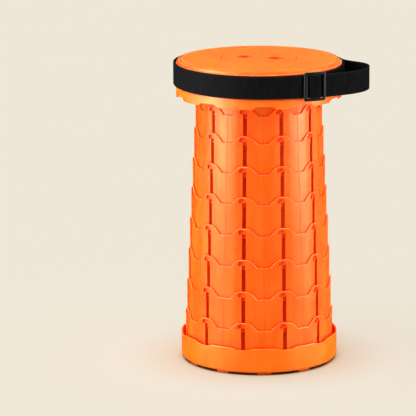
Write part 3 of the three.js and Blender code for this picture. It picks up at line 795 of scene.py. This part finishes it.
def ribbon(name, xy, z_mid, width, thick, closed, hug=None):
    """Flat webbing along a line of (x, y): a thin band on edge with woven, rounded rims. z_mid is its middle height at
    each point. UVs are metres along and across."""
    xy = np.asarray(xy, float)
    n = len(xy)
    if closed:
        d = np.roll(xy, -1, 0) - np.roll(xy, 1, 0)
    else:
        d = np.gradient(xy, axis=0)
    d /= np.linalg.norm(d, axis=1, keepdims=True)
    nor = np.stack([d[:, 1], -d[:, 0]], 1)
    step = np.linalg.norm(np.roll(xy, -1, 0) - xy, axis=1)
    along = np.concatenate([[0], np.cumsum(step)])
    t, w = thick / 2, width / 2
    section = []   # (out, up)
    for a in np.linspace(-80, 80, 5):
        section.append((t * math.sin(math.radians(a)), w - t * (1 - math.cos(math.radians(a)))))
    section += [(t, w - 1.1), (t * 0.93, w - 2.2), (t * 0.97, w / 2), (t * 0.97, 0.0), (t * 0.97, -w / 2), (t * 0.93, -w + 2.2), (t, -w + 1.1)]
    for a in np.linspace(80, -80, 5):
        section.append((t * math.sin(math.radians(a)), -w + t * (1 - math.cos(math.radians(a)))))
    section += [(-t, -w + 1.1), (-t * 0.93, -w + 2.2), (-t * 0.97, 0.0), (-t * 0.93, w - 2.2), (-t, w - 1.1)]
    m = len(section)
    verts, uv = [], []
    for i in range(n):
        for o, up in section:
            q = xy[i] + nor[i] * o
            verts.append((q[0], q[1], z_mid[i] + up))
            uv.append((along[i] * MM, up * MM))
    faces = []
    for i in range(n if closed else n - 1):
        j = (i + 1) % n
        for s in range(m):
            e = (s + 1) % m
            faces.append((i * m + s, i * m + e, j * m + e, j * m + s))
    if not closed:
        faces.append(list(range(m))[::-1])
        faces.append([(n - 1) * m + s for s in range(m)])
    v = np.array(verts)
    f0 = v[list(faces[0])]
    face_n = np.cross(f0[1] - f0[0], f0[2] - f0[0])
    want = np.array([*(nor[0] * section[0][0]), 1.0])
    if face_n @ want < 0:
        faces = [list(f)[::-1] for f in faces]
    return make(name, verts, faces, sharp=55, uv=uv), float(along[n] if closed else along[n - 1])


def smooth_line(points, step):
    """Curve through the points (centripetal Catmull-Rom), in even steps."""
    p = np.asarray(points, float)
    p = np.concatenate([[2 * p[0] - p[1]], p, [2 * p[-1] - p[-2]]])
    out = []
    for i in range(1, len(p) - 2):
        t = [0.0]
        for a, b in ((i - 1, i), (i, i + 1), (i + 1, i + 2)):
            t.append(t[-1] + math.sqrt(np.linalg.norm(p[b] - p[a])))
        for s in np.linspace(t[1], t[2], 24, endpoint=False):
            a1 = (t[1] - s) / (t[1] - t[0]) * p[i - 1] + (s - t[0]) / (t[1] - t[0]) * p[i]
            a2 = (t[2] - s) / (t[2] - t[1]) * p[i] + (s - t[1]) / (t[2] - t[1]) * p[i + 1]
            a3 = (t[3] - s) / (t[3] - t[2]) * p[i + 1] + (s - t[2]) / (t[3] - t[2]) * p[i + 2]
            b1 = (t[2] - s) / (t[2] - t[0]) * a1 + (s - t[0]) / (t[2] - t[0]) * a2
            b2 = (t[3] - s) / (t[3] - t[1]) * a2 + (s - t[1]) / (t[3] - t[1]) * a3
            out.append((t[2] - s) / (t[2] - t[1]) * b1 + (s - t[1]) / (t[2] - t[1]) * b2)
    out.append(p[-2])
    out = np.array(out)
    l = np.concatenate([[0], np.cumsum(np.linalg.norm(np.diff(out, axis=0), axis=1))])
    n = max(2, int(round(l[-1] / step)))
    s = np.linspace(0, l[-1], n + 1)
    return np.stack([np.interp(s, l, out[:, i]) for i in range(out.shape[1])], 1)


def on_band(az, w):
    return around(BAND_OUT + w, az).tolist()


ga = math.radians(GLIDE_AZ)
g_x, g_o = np.array([math.cos(ga), math.sin(ga), 0]), np.array([math.sin(ga), -math.cos(ga), 0])


def at_glide(u, w):
    q = g_o * (GLIDE_R + w) + g_x * (GLIDE_U + u)
    return [float(q[0]), float(q[1])]


azs = np.arange(0, 360, 1.5)
a = np.radians(azs)
wave = 0.10 * np.sin(3 * a + 0.6) + 0.07 * np.sin(7 * a + 2.1) + 0.04 * np.sin(16 * a)
mid = (BAND_Z0 + BAND_Z1) / 2
# worn a little higher on the left than on the right
tilt = np.interp(azs, [0, 20, 60, 82, 100, 150, 200, 240, 270, 290, 300, 315, 335, 350, 360], [-0.1, -0.4, -0.4, 0.4, -0.3, 0.3, 1.2, 2.1, 2.5, 1.9, 1.5, 0.9, 0.3, 0.0, -0.1])
band, band_length = ribbon("strap_band_webbing", around((BAND_IN + BAND_OUT) / 2 + wave * 0.5, azs), mid + tilt,
                           BAND_Z1 - BAND_Z0 - 0.2, 3.1, True)
done(band, "seat", ["strap_band"], WEBBING)

path = [on_band(14.0, -1.0), on_band(17.0, -0.75), on_band(20.5, 0.3), on_band(24.0, 0.95), on_band(27.0, 0.95)]
path += [at_glide(-17.3, -1.0), at_glide(-12.8, -1.05), at_glide(-10.4, -0.3), at_glide(-8.6, 2.3), at_glide(-6.6, 4.2), at_glide(0, 4.75), at_glide(6.6, 4.2),
         at_glide(8.6, 2.3), at_glide(10.4, -0.3), at_glide(12.8, -1.05), at_glide(17.3, -1.0)]
path += [[109, -93], [122.5, -84], [138, -73], [150.5, -60], [158.8, -46.5], [163.2, -34], [164.8, -24], [164.2, -14.5],
         [160.8, -4], [155, 4.5], [147.3, 12.3], [138.5, 19], [131.8, 25.5], on_band(104.5, 1.6), on_band(109, 1.2), on_band(115, 1.1), on_band(120, 1.1)]
line = smooth_line(path, 1.3)
run = np.concatenate([[0], np.cumsum(np.linalg.norm(np.diff(line, axis=0), axis=1))])
s = run / run[-1]
loop_mid = (LOOP_Z0 + LOOP_Z1) / 2
z = np.interp(s, [0, 0.08, 0.2, 0.34, 0.55, 0.80, 0.93, 1], [mid - 0.3, mid - 0.3, 438.0, loop_mid + 0.2, loop_mid, loop_mid + 0.1, mid - 0.6, mid - 0.4])
handle, handle_length = ribbon("strap_handle_webbing", line, z, LOOP_Z1 - LOOP_Z0 - 0.4, 1.5, False)
done(handle, "seat", ["strap_handle"], WEBBING)


# ---------------------------------------------------------------------------------------------------- plates

def bevelled(name, outline, holes, thick, steps, place, spacing=None, extra=None, uv=False):
    """Flat piece with rounded edges on both faces. steps is (inset, depth) from the outline inwards. place maps
    (x, y, out) to space and gives the x, y and out directions there. extra is a list of (outline, rise of the front inside it)."""
    outline, holes = np.asarray(outline)[::-1], [np.asarray(h) for h in holes]    # the empty side on the left
    outlines = [(outline, True)] + [(h, True) for h in holes]
    lines = list(outlines)
    for d, _ in steps[1:]:
        lines += [(inset(p, d), True) for p, _c in outlines]
    for loop, _rise in extra or []:
        lines.append((np.asarray(loop), True))
    lo, hi = outline.min(0), outline.max(0)
    if spacing:
        for x in np.arange(lo[0] + spacing, hi[0] - 1e-3, spacing):
            lines.append((np.array([(x, lo[1] - 1), (x, hi[1] + 1)]), False))

    def keep(c):
        ok = inside(outline, c)
        for h in holes:
            ok &= ~inside(h, c)
        return ok

    p, f = plan(lines, keep)
    dist, out2 = nearest(outlines, p)
    depth, tilt = np.zeros(len(p)), np.ones(len(p))
    for i, (d, z) in enumerate(steps):
        at = np.abs(dist - d) < (4e-3 if i else 3e-3)
        depth[at] = z
        tilt[at] = i / (len(steps) - 1)
    between = (dist > steps[0][0] + 3e-3) & (dist < steps[-1][0] - 4e-3)
    depth[between] = np.interp(dist[between], [a_ for a_, _ in steps], [b_ for _, b_ in steps])
    tilt[between] = np.interp(dist[between], [a_ for a_, _ in steps], np.linspace(0, 1, len(steps)))
    rise = np.zeros(len(p))
    for loop, up in extra or []:
        grown = inset(np.asarray(loop), -2e-3)
        rise = np.where(inside(np.asarray(grown), p) | (nearest([(np.asarray(loop), True)], p)[0] < 3e-3), up, rise)
    verts, norms, uvs, edge = [], [], [], []
    for sign in (1, -1):
        for i in range(len(p)):
            o = sign * (thick / 2 - depth[i]) + (rise[i] if sign > 0 else 0)
            q, ex, ey, eo = place(p[i, 0], p[i, 1], o)
            verts.append(q)
            a_ = math.radians(90 * tilt[i])
            nn = np.array(eo) * sign * math.sin(a_) + (np.array(ex) * out2[i, 0] + np.array(ey) * out2[i, 1]) * math.cos(a_)
            norms.append(nn)
            uvs.append((p[i, 0] * MM, p[i, 1] * MM))
            edge.append(1.0 if 0.3 < tilt[i] < 0.9 else 0.0)
    n = len(p)
    faces = f.tolist() + (f[:, ::-1] + n).tolist() + [(b_, a_, a_ + n, b_ + n) for a_, b_ in rim_edges(f)]
    return make(name, verts, faces, norms, edge, uv=uvs if uv else None)


def rounded(w, h, r, n=6):
    return fillet([(-w / 2, -h / 2), (w / 2, -h / 2), (w / 2, h / 2), (-w / 2, h / 2)], r, n=n)


def on_glide(x, y, o):
    # the frame is bent a little to follow the cap
    bend = 130.0 if x > 0 else 220.0
    b_ = x / bend
    q = g_o * (GLIDE_R + 0.9 + GLIDE_T / 2 - bend + (bend + o) * math.cos(b_)) + g_x * (GLIDE_U + (bend + o) * math.sin(b_)) + np.array([0, 0, GLIDE_Z + y])
    return q, g_x * math.cos(b_) - g_o * math.sin(b_), np.array([0, 0, 1.0]), g_o * math.cos(b_) + g_x * math.sin(b_)


windows = [fillet([(x0, -17.6), (x1, -17.6), (x1, 17.6), (x0, 17.6)], 1.6, n=4) for x0, x1 in ((-12.1, -3.5), (3.5, 13.2))]
glide = bevelled("strap_slider_buckle", rounded(GLIDE_W, GLIDE_H, 3.4), windows, GLIDE_T, [(0, 1.0), (0.15, 0.6), (0.5, 0.22), (1.1, 0.0)], on_glide, spacing=3.3)
done(glide, "seat", ["strap_slider"], BLACK)

LABEL_R = BAND_OUT + 0.35 + 0.6


def on_label(x, y, o):
    a_ = math.radians(200 + math.degrees(x / LABEL_R))
    e = np.array([math.sin(a_), -math.cos(a_), 0])
    return e * (LABEL_R + o) + np.array([0, 0, 439.7 + y]), np.array([math.cos(a_), math.sin(a_), 0]), np.array([0, 0, 1.0]), e


label = bevelled("strap_label_patch", rounded(38, 24, 2.0), [], 1.0, [(0, 0.3), (0.1, 0.1), (0.3, 0.0)], on_label, spacing=2.0,
                 extra=[(rounded(34.4, 20.4, 1.2), -0.22), (rounded(34.0, 20.0, 1.0), -0.25)], uv=True)
done(label, "seat", ["strap_label"], PATCH)


def stitches(name, runs, place, length=2.3, gap=1.1, r=0.28):
    """Short raised threads along runs of (x, y) points."""
    verts, faces = [], []
    ring_n, ends = 6, [(-0.5, 0.35), (-0.36, 0.85), (0.0, 1.0), (0.36, 0.85), (0.5, 0.35)]
    for run_ in runs:
        run_ = np.asarray(run_, float)
        l = np.concatenate([[0], np.cumsum(np.linalg.norm(np.diff(run_, axis=0), axis=1))])
        count = max(1, int(l[-1] // (length + gap)))
        pitch = l[-1] / count
        for i in range(count):
            c = (i + 0.5) * pitch
            ln = pitch - gap
            base = len(verts)
            for t, k_ in ends:
                at = c + t * ln
                x, y = np.interp(at, l, run_[:, 0]), np.interp(at, l, run_[:, 1])
                j = min(len(run_) - 2, int(np.searchsorted(l, at, "right") - 1))
                j = max(j, 0)
                d = run_[j + 1] - run_[j]
                d = d / np.linalg.norm(d)
                for m_ in range(ring_n):
                    b_ = 2 * math.pi * m_ / ring_n
                    off = r * k_ * math.cos(b_)
                    q = place(x - d[1] * off, y + d[0] * off, r * k_ * math.sin(b_) + 0.08)[0]
                    verts.append(q)
            for e in range(len(ends) - 1):
                for m_ in range(ring_n):
                    n_ = (m_ + 1) % ring_n
                    faces.append((base + e * ring_n + m_, base + (e + 1) * ring_n + m_, base + (e + 1) * ring_n + n_, base + e * ring_n + n_))
            faces.append([base + m_ for m_ in range(ring_n)])
            faces.append([base + (len(ends) - 1) * ring_n + m_ for m_ in range(ring_n)][::-1])
    obj = make(name, verts, faces)
    bm = bmesh.new()
    bm.from_mesh(obj.data)
    bmesh.ops.recalc_face_normals(bm, faces=bm.faces)
    bm.to_mesh(obj.data)
    bm.free()
    return obj


def box_run(w, h):
    return [(-w / 2, -h / 2), (w / 2, -h / 2), (w / 2, h / 2), (-w / 2, h / 2), (-w / 2, -h / 2)]


label_sewing = stitches("strap_label_sewing", [box_run(36.0, 22.0)], lambda x, y, o: on_label(x, y, 0.42 + o), 1.9, 0.8, 0.22)
done(label_sewing, "seat", [], WEBBING)

JOIN_AZ = 115.6


def on_join(x, y, o):
    a_ = math.radians(JOIN_AZ + math.degrees(x / (BAND_OUT + 2)))
    e = np.array([math.sin(a_), -math.cos(a_), 0])
    return e * (BAND_OUT + 1.2 + 0.75 + o) + np.array([0, 0, mid - 0.4 + y]), np.array([math.cos(a_), math.sin(a_), 0]), np.array([0, 0, 1.0]), e


join_sewing = stitches("strap_join_sewing", [box_run(9.5, 27.0), [(-4.3, -13.0), (4.3, 13.0)], [(-4.3, 13.0), (4.3, -13.0)]], on_join, 2.3, 1.0, 0.27)
done(join_sewing, "seat", [], WEBBING)


# ---------------------------------------------------------------------------------------------------- stage

def floor():
    m, nt, b = material("floor_paper")
    co = nt.nodes.new("ShaderNodeTexCoord").outputs["Object"]
    tone = remap(nt, noise(nt, co, 3.0, 3.0, 0.5), 0.3, 0.7, 0.0, 1.0)
    c = mix(nt, tone, (0.248, 0.232, 0.197), (0.252, 0.236, 0.201))
    c = mix(nt, remap(nt, noise(nt, co, 700.0, 2.0, 0.6), 0.3, 0.7, 0.0, 0.05), c, (0.23, 0.21, 0.18))
    nt.links.new(c, b.inputs["Base Color"])
    b.inputs["Roughness"].default_value = 0.95
    b.inputs["Specular IOR Level"].default_value = 0.0
    # an even glow for the paper, with a painted contact shadow: the glow turns darker and warmer, a painted orange
    # bounce, where the ambient occlusion shows the stool close by
    ao = nt.nodes.new("ShaderNodeAmbientOcclusion")
    ao.samples = 12
    ao.inputs["Distance"].default_value = 0.10
    ramp = nt.nodes.new("ShaderNodeValToRGB")
    painted_shadow_marks = [(0.0, (0.003, 0.001, 0.0005)), (0.30, (0.02, 0.008, 0.003)), (0.46, (0.56, 0.37, 0.20)), (0.6, (0.745, 0.60, 0.44)), (1.0, (0.863, 0.807, 0.686))]
    while len(ramp.color_ramp.elements) < len(painted_shadow_marks):
        ramp.color_ramp.elements.new(0.5)
    for el, (at, colour) in zip(ramp.color_ramp.elements, painted_shadow_marks):
        el.position = at
    for el, (at, colour) in zip(ramp.color_ramp.elements, painted_shadow_marks):
        el.color = (*colour, 1.0)
    nt.links.new(ao.outputs["AO"], ramp.inputs[0])
    glow = ramp.outputs[0]
    nt.links.new(glow, b.inputs["Emission Color"])
    b.inputs["Emission Strength"].default_value = 0.815
    nt.links.new(bump(nt, noise(nt, co, 500.0, 2.0, 0.6), 0.05, 0.0003), b.inputs["Normal"])
    mesh = bpy.data.meshes.new("floor")
    bm = bmesh.new()
    bmesh.ops.create_grid(bm, x_segments=8, y_segments=8, size=12.0)
    bm.to_mesh(mesh)
    bm.free()
    obj = bpy.data.objects.new("floor", mesh)
    obj.data.materials.append(m)
    bpy.context.scene.collection.objects.link(obj)
    obj.visible_glossy = False      # the gloss shows the strips and the dim room, not the paper
    return obj


floor()

world = bpy.data.worlds.new("studio")
bpy.context.scene.world = world
world.use_nodes = True
wt = world.node_tree
way = wt.nodes.new("ShaderNodeSeparateXYZ")
wt.links.new(wt.nodes.new("ShaderNodeTexCoord").outputs["Generated"], way.inputs[0])
wt.nodes["Background"].inputs[0].default_value = (1.0, 1.0, 1.0, 1)
room = math_node(wt, "MULTIPLY", remap(wt, way.outputs[1], -0.8, 0.8, 0.27, 0.20), remap(wt, way.outputs[2], -0.05, 0.05, 0.15, 1.0))
wt.links.new(room, wt.nodes["Background"].inputs[1])

# the soft boxes shape the stool only, so the paper under it keeps one even tone
lit, below_seat = bpy.data.collections.new("lit_by_boxes"), bpy.data.collections.new("below_seat")
for obj in list(bpy.data.objects):
    if obj.type == "MESH" and obj.name != "floor":
        lit.objects.link(obj)
        if obj.name.startswith(("ring_", "base_")):
            below_seat.objects.link(obj)


def aim(obj, at, target):
    obj.location = at
    obj.rotation_mode = "QUATERNION"
    obj.rotation_quaternion = (Vector(target) - Vector(at)).to_track_quat("-Z", "Y")
    bpy.context.scene.collection.objects.link(obj)
    return obj


def softbox(name, at, target, size, power, sheen=True, body=True, only=None):
    """sheen: seen in the plastic's gloss. body: lights its colour. only: the collection it lights."""
    light = bpy.data.lights.new(name, "AREA")
    light.shape = "RECTANGLE"
    light.size, light.size_y = size
    light.energy = power
    obj = aim(bpy.data.objects.new(name, light), at, target)
    obj.light_linking.receiver_collection = only or lit
    obj.visible_glossy, obj.visible_diffuse, obj.visible_transmission = sheen, body, body
    return obj


def ring_at(az, r, z):
    x, y = around(r, az)
    return (float(x), float(y), z)


sun = bpy.data.lights.new("window", "SUN")
sun.energy = 1.3
sun.angle = math.radians(60)
aim(bpy.data.objects.new("window", sun), ring_at(-60, 1.0, 2.2), (0, 0, 0.1))
softbox("front", ring_at(-5, 1.7, 0.75), (0, 0, 0.25), (1.3, 1.3), 8, sheen=False)
softbox("side_right", ring_at(80, 1.7, 0.75), (0, 0, 0.25), (0.8, 1.3), 38, sheen=False)
softbox("side_left", ring_at(-78, 1.7, 0.75), (0, 0, 0.25), (0.8, 1.3), 40, sheen=False)
softbox("above", (-0.1, -0.2, 2.1), (0, 0, 0.4), (1.2, 1.2), 10, sheen=False)
softbox("strip_left", ring_at(-66, 1.5, 0.68), (0, 0, 0.68), (0.85, 1.25), 140, body=False)
softbox("strip_right", ring_at(77, 1.5, 0.68), (0, 0, 0.68), (0.6, 1.25), 48, body=False)
softbox("strip_right_low", ring_at(76, 1.5, 0.68), (0, 0, 0.68), (0.6, 1.25), 62, body=False, only=below_seat)

# camera: fitted to the photograph's rim, ring, scallop and base outlines
pitch, yaw, roll = math.radians(12.686), math.radians(-1.111), math.radians(-0.286)
ahead = Vector((math.sin(yaw) * math.cos(pitch), math.cos(yaw) * math.cos(pitch), -math.sin(pitch)))
right = Vector((math.cos(yaw), -math.sin(yaw), 0))
up = right.cross(ahead)
r2 = right * math.cos(roll) + up * math.sin(roll)
u2 = up * math.cos(roll) - right * math.sin(roll)
cam = bpy.data.cameras.new("camera")
cam.sensor_width = 36.0
cam.lens = 2693.0 * 36.0 / 416.0
cam.clip_start, cam.clip_end = 0.1, 60.0
eye = bpy.data.objects.new("camera", cam)
eye.matrix_world = Matrix.Translation((0, -4.0, 1.1316)) @ Matrix((r2, u2, -ahead)).transposed().to_4x4()
bpy.context.scene.collection.objects.link(eye)
bpy.context.scene.camera = eye

scene = bpy.context.scene
scene.view_settings.view_transform = "Standard"
scene.view_settings.look = "None"
scene.view_settings.exposure = 0.0
scene.view_settings.gamma = 1.0
